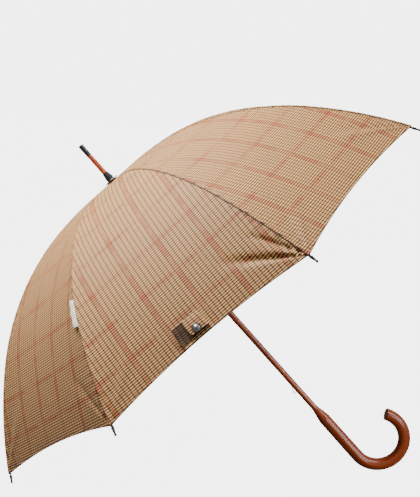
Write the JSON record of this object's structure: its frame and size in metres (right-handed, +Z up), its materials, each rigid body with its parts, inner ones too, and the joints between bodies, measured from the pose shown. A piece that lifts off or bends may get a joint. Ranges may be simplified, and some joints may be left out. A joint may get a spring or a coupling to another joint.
{
  "type": "stick umbrella",
  "caption": "Long walking umbrella with a crook handle, lying open; the runner slides along the shaft and folds the ribs, struts and checked fabric canopy against it",
  "frame": {"origin": "On the floor under the middle of the bounding box of the open umbrella, lying on its crook and two rib tips", "axes": "+Z up; +Y across the canopy, parallel to the floor and square to the plane of the crook; +X horizontal, from the ferrule side towards the crook"},
  "size_m": [0.7776, 0.9394, 0.6983],
  "materials": {
    "wood": "clear gloss lacquer over reddish brown wood",
    "black_metal": "semi-gloss black enamel",
    "notch_metal": "plated steel, satin",
    "runner_metal": "nickel plated sheet, satin",
    "spring_wire": "bright spring wire",
    "pin_steel": "bright drawn steel",
    "rib_steel": "dark blued spring steel",
    "tip_metal": "dark plated steel",
    "canopy_fabric": "woven cream and brown check with red windowpane lines, slight sheen",
    "strap_fabric": "the canopy's woven check",
    "snap_metal": "pewter coloured pressed metal",
    "label_fabric": "plain white woven tape"
  },
  "bodies": {
    "frame": {"stick": "wood", "ferrule_cap": "black_metal", "ferrule_cone": "black_metal", "rosette": "black_metal", "top_notch": "notch_metal", "shaft_pins": "pin_steel"},
    "runner": {"runner": "runner_metal"},
    "top_catch": {"top_spring": "spring_wire"},
    "bottom_catch": {"bottom_spring": "spring_wire"},
    "rib_1": {"rib_inner_1": "rib_steel", "canopy_crown_1": "canopy_fabric"},
    "rib_end_1": {"rib_outer_1": "rib_steel", "rib_tip_1": "tip_metal", "canopy_skirt_1": "canopy_fabric"},
    "strut_1": {"stretcher_1": "rib_steel"},
    "rib_2": {"rib_inner_2": "rib_steel", "canopy_crown_2": "canopy_fabric"},
    "rib_end_2": {"rib_outer_2": "rib_steel", "rib_tip_2": "tip_metal", "canopy_skirt_2": "canopy_fabric"},
    "strut_2": {"stretcher_2": "rib_steel"},
    "rib_3": {"rib_inner_3": "rib_steel", "canopy_crown_3": "canopy_fabric"},
    "rib_end_3": {"rib_outer_3": "rib_steel", "rib_tip_3": "tip_metal", "canopy_skirt_3": "canopy_fabric"},
    "strut_3": {"stretcher_3": "rib_steel"},
    "rib_4": {"rib_inner_4": "rib_steel", "canopy_crown_4": "canopy_fabric"},
    "rib_end_4": {"rib_outer_4": "rib_steel", "rib_tip_4": "tip_metal", "canopy_skirt_4": "canopy_fabric"},
    "strut_4": {"stretcher_4": "rib_steel"},
    "rib_5": {"rib_inner_5": "rib_steel", "canopy_crown_5": "canopy_fabric"},
    "rib_end_5": {"rib_outer_5": "rib_steel", "rib_tip_5": "tip_metal", "canopy_skirt_5": "canopy_fabric"},
    "strut_5": {"stretcher_5": "rib_steel"},
    "rib_6": {"rib_inner_6": "rib_steel", "canopy_crown_6": "canopy_fabric"},
    "rib_end_6": {"rib_outer_6": "rib_steel", "rib_tip_6": "tip_metal", "canopy_skirt_6": "canopy_fabric", "label": "label_fabric"},
    "strut_6": {"stretcher_6": "rib_steel"},
    "rib_7": {"rib_inner_7": "rib_steel", "canopy_crown_7": "canopy_fabric"},
    "rib_end_7": {"rib_outer_7": "rib_steel", "rib_tip_7": "tip_metal", "canopy_skirt_7": "canopy_fabric"},
    "strut_7": {"stretcher_7": "rib_steel"},
    "rib_8": {"rib_inner_8": "rib_steel", "canopy_crown_8": "canopy_fabric"},
    "rib_end_8": {"rib_outer_8": "rib_steel", "rib_tip_8": "tip_metal", "canopy_skirt_8": "canopy_fabric"},
    "strut_8": {"stretcher_8": "rib_steel"},
    "tie_strap": {"strap": "strap_fabric", "snap_button": "snap_metal"}
  },
  "joints": [
    {"name": "runner_slide", "type": "slide", "parent": "frame", "child": "runner", "axis": [0.7177, 0, -0.6963], "range_m": [0, 0.37183]},
    {"name": "top_catch_press", "type": "hinge", "parent": "frame", "child": "top_catch", "pos_m": [-0.09488, 0, 0.39405], "axis": [0, 1, 0], "range_deg": [0, 18], "stiffness_Nm_per_rad": 0.4},
    {"name": "bottom_catch_press", "type": "hinge", "parent": "frame", "child": "bottom_catch", "pos_m": [0.14233, 0, 0.16391], "axis": [0, -1, 0], "range_deg": [0, 18], "stiffness_Nm_per_rad": 0.4},
    {"name": "rib_hinge_1", "type": "hinge", "parent": "frame", "child": "rib_1", "pos_m": [-0.2216, 0.00364, 0.53341], "axis": [-0.2665, 0.9239, -0.2747], "range_deg": [0, 78.81], "deforming": ["canopy_crown_1"]},
    {"name": "rib_flex_1", "type": "hinge", "parent": "rib_1", "child": "rib_end_1", "pos_m": [-0.03511, 0.09851, 0.6716], "axis": [0.2665, -0.9239, 0.2747], "range_deg": [0, 31.14], "deforming": ["canopy_skirt_1"]},
    {"name": "strut_hinge_1", "type": "hinge", "parent": "rib_1", "child": "strut_1", "pos_m": [-0.03918, 0.0946, 0.6624], "axis": [0.2665, -0.9239, 0.2747], "range_deg": [0, 150.53]},
    {"name": "rib_hinge_2", "type": "hinge", "parent": "frame", "child": "rib_2", "pos_m": [-0.22518, 0.00878, 0.52972], "axis": [-0.6433, 0.3827, -0.6631], "range_deg": [0, 78.81], "deforming": ["canopy_crown_2"]},
    {"name": "rib_flex_2", "type": "hinge", "parent": "rib_2", "child": "rib_end_2", "pos_m": [-0.13212, 0.23782, 0.57162], "axis": [0.6433, -0.3827, 0.6631], "range_deg": [0, 31.14], "deforming": ["canopy_skirt_2"]},
    {"name": "strut_hinge_2", "type": "hinge", "parent": "rib_2", "child": "strut_2", "pos_m": [-0.13234, 0.22838, 0.56638], "axis": [0.6433, -0.3827, 0.6631], "range_deg": [0, 150.53]},
    {"name": "rib_hinge_3", "type": "hinge", "parent": "frame", "child": "rib_3", "pos_m": [-0.23025, 0.00878, 0.5245], "axis": [-0.6433, -0.3827, -0.6631], "range_deg": [0, 78.81], "deforming": ["canopy_crown_3"]},
    {"name": "rib_flex_3", "type": "hinge", "parent": "rib_3", "child": "rib_end_3", "pos_m": [-0.26931, 0.23782, 0.43022], "axis": [0.6433, 0.3827, 0.6631], "range_deg": [0, 31.14], "deforming": ["canopy_skirt_3"]},
    {"name": "strut_hinge_3", "type": "hinge", "parent": "rib_3", "child": "strut_3", "pos_m": [-0.26409, 0.22838, 0.4306], "axis": [0.6433, 0.3827, 0.6631], "range_deg": [0, 150.53]},
    {"name": "rib_hinge_4", "type": "hinge", "parent": "frame", "child": "rib_4", "pos_m": [-0.23383, 0.00364, 0.52082], "axis": [-0.2665, -0.9239, -0.2747], "range_deg": [0, 78.81], "deforming": ["canopy_crown_4"]},
    {"name": "rib_flex_4", "type": "hinge", "parent": "rib_4", "child": "rib_end_4", "pos_m": [-0.36632, 0.09851, 0.33023], "axis": [0.2665, 0.9239, 0.2747], "range_deg": [0, 31.14], "deforming": ["canopy_skirt_4"]},
    {"name": "strut_hinge_4", "type": "hinge", "parent": "rib_4", "child": "strut_4", "pos_m": [-0.35724, 0.0946, 0.33458], "axis": [0.2665, 0.9239, 0.2747], "range_deg": [0, 150.53]},
    {"name": "rib_hinge_5", "type": "hinge", "parent": "frame", "child": "rib_5", "pos_m": [-0.23383, -0.00364, 0.52082], "axis": [0.2665, -0.9239, 0.2747], "range_deg": [0, 78.81], "deforming": ["canopy_crown_5"]},
    {"name": "rib_flex_5", "type": "hinge", "parent": "rib_5", "child": "rib_end_5", "pos_m": [-0.36632, -0.09851, 0.33023], "axis": [-0.2665, 0.9239, -0.2747], "range_deg": [0, 31.14], "deforming": ["canopy_skirt_5"]},
    {"name": "strut_hinge_5", "type": "hinge", "parent": "rib_5", "child": "strut_5", "pos_m": [-0.35724, -0.0946, 0.33458], "axis": [-0.2665, 0.9239, -0.2747], "range_deg": [0, 150.53]},
    {"name": "rib_hinge_6", "type": "hinge", "parent": "frame", "child": "rib_6", "pos_m": [-0.23025, -0.00878, 0.5245], "axis": [0.6433, -0.3827, 0.6631], "range_deg": [0, 78.81], "deforming": ["canopy_crown_6"]},
    {"name": "rib_flex_6", "type": "hinge", "parent": "rib_6", "child": "rib_end_6", "pos_m": [-0.26931, -0.23782, 0.43022], "axis": [-0.6433, 0.3827, -0.6631], "range_deg": [0, 31.14], "deforming": ["canopy_skirt_6"]},
    {"name": "strut_hinge_6", "type": "hinge", "parent": "rib_6", "child": "strut_6", "pos_m": [-0.26409, -0.22838, 0.4306], "axis": [-0.6433, 0.3827, -0.6631], "range_deg": [0, 150.53]},
    {"name": "rib_hinge_7", "type": "hinge", "parent": "frame", "child": "rib_7", "pos_m": [-0.22518, -0.00878, 0.52972], "axis": [0.6433, 0.3827, 0.6631], "range_deg": [0, 78.81], "deforming": ["canopy_crown_7"]},
    {"name": "rib_flex_7", "type": "hinge", "parent": "rib_7", "child": "rib_end_7", "pos_m": [-0.13212, -0.23782, 0.57162], "axis": [-0.6433, -0.3827, -0.6631], "range_deg": [0, 31.14], "deforming": ["canopy_skirt_7"]},
    {"name": "strut_hinge_7", "type": "hinge", "parent": "rib_7", "child": "strut_7", "pos_m": [-0.13234, -0.22838, 0.56638], "axis": [-0.6433, -0.3827, -0.6631], "range_deg": [0, 150.53]},
    {"name": "rib_hinge_8", "type": "hinge", "parent": "frame", "child": "rib_8", "pos_m": [-0.2216, -0.00364, 0.53341], "axis": [0.2665, 0.9239, 0.2747], "range_deg": [0, 78.81], "deforming": ["canopy_crown_8"]},
    {"name": "rib_flex_8", "type": "hinge", "parent": "rib_8", "child": "rib_end_8", "pos_m": [-0.03511, -0.09851, 0.6716], "axis": [-0.2665, -0.9239, -0.2747], "range_deg": [0, 31.14], "deforming": ["canopy_skirt_8"]},
    {"name": "strut_hinge_8", "type": "hinge", "parent": "rib_8", "child": "strut_8", "pos_m": [-0.03918, -0.0946, 0.6624], "axis": [-0.2665, -0.9239, -0.2747], "range_deg": [0, 150.53]},
    {"name": "strap_gather", "type": "slide", "parent": "rib_end_7", "child": "tie_strap", "axis": [0.6963, 0, 0.7177], "range_m": [0, 0.1531]}
  ],
  "couplings": [
    {"joint": "rib_hinge_1", "follows": "runner_slide", "rad_per_m": 3.697},
    {"joint": "rib_flex_1", "follows": "runner_slide", "rad_per_m": 1.4592},
    {"joint": "strut_hinge_1", "follows": "runner_slide", "rad_per_m": 7.0632},
    {"joint": "rib_hinge_2", "follows": "runner_slide", "rad_per_m": 3.697},
    {"joint": "rib_flex_2", "follows": "runner_slide", "rad_per_m": 1.4592},
    {"joint": "strut_hinge_2", "follows": "runner_slide", "rad_per_m": 7.0632},
    {"joint": "rib_hinge_3", "follows": "runner_slide", "rad_per_m": 3.697},
    {"joint": "rib_flex_3", "follows": "runner_slide", "rad_per_m": 1.4592},
    {"joint": "strut_hinge_3", "follows": "runner_slide", "rad_per_m": 7.0632},
    {"joint": "rib_hinge_4", "follows": "runner_slide", "rad_per_m": 3.697},
    {"joint": "rib_flex_4", "follows": "runner_slide", "rad_per_m": 1.4592},
    {"joint": "strut_hinge_4", "follows": "runner_slide", "rad_per_m": 7.0632},
    {"joint": "rib_hinge_5", "follows": "runner_slide", "rad_per_m": 3.697},
    {"joint": "rib_flex_5", "follows": "runner_slide", "rad_per_m": 1.4592},
    {"joint": "strut_hinge_5", "follows": "runner_slide", "rad_per_m": 7.0632},
    {"joint": "rib_hinge_6", "follows": "runner_slide", "rad_per_m": 3.697},
    {"joint": "rib_flex_6", "follows": "runner_slide", "rad_per_m": 1.4592},
    {"joint": "strut_hinge_6", "follows": "runner_slide", "rad_per_m": 7.0632},
    {"joint": "rib_hinge_7", "follows": "runner_slide", "rad_per_m": 3.697},
    {"joint": "rib_flex_7", "follows": "runner_slide", "rad_per_m": 1.4592},
    {"joint": "strut_hinge_7", "follows": "runner_slide", "rad_per_m": 7.0632},
    {"joint": "rib_hinge_8", "follows": "runner_slide", "rad_per_m": 3.697},
    {"joint": "rib_flex_8", "follows": "runner_slide", "rad_per_m": 1.4592},
    {"joint": "strut_hinge_8", "follows": "runner_slide", "rad_per_m": 7.0632},
    {"joint": "strap_gather", "follows": "runner_slide", "ratio": 0.4104}
  ]
}
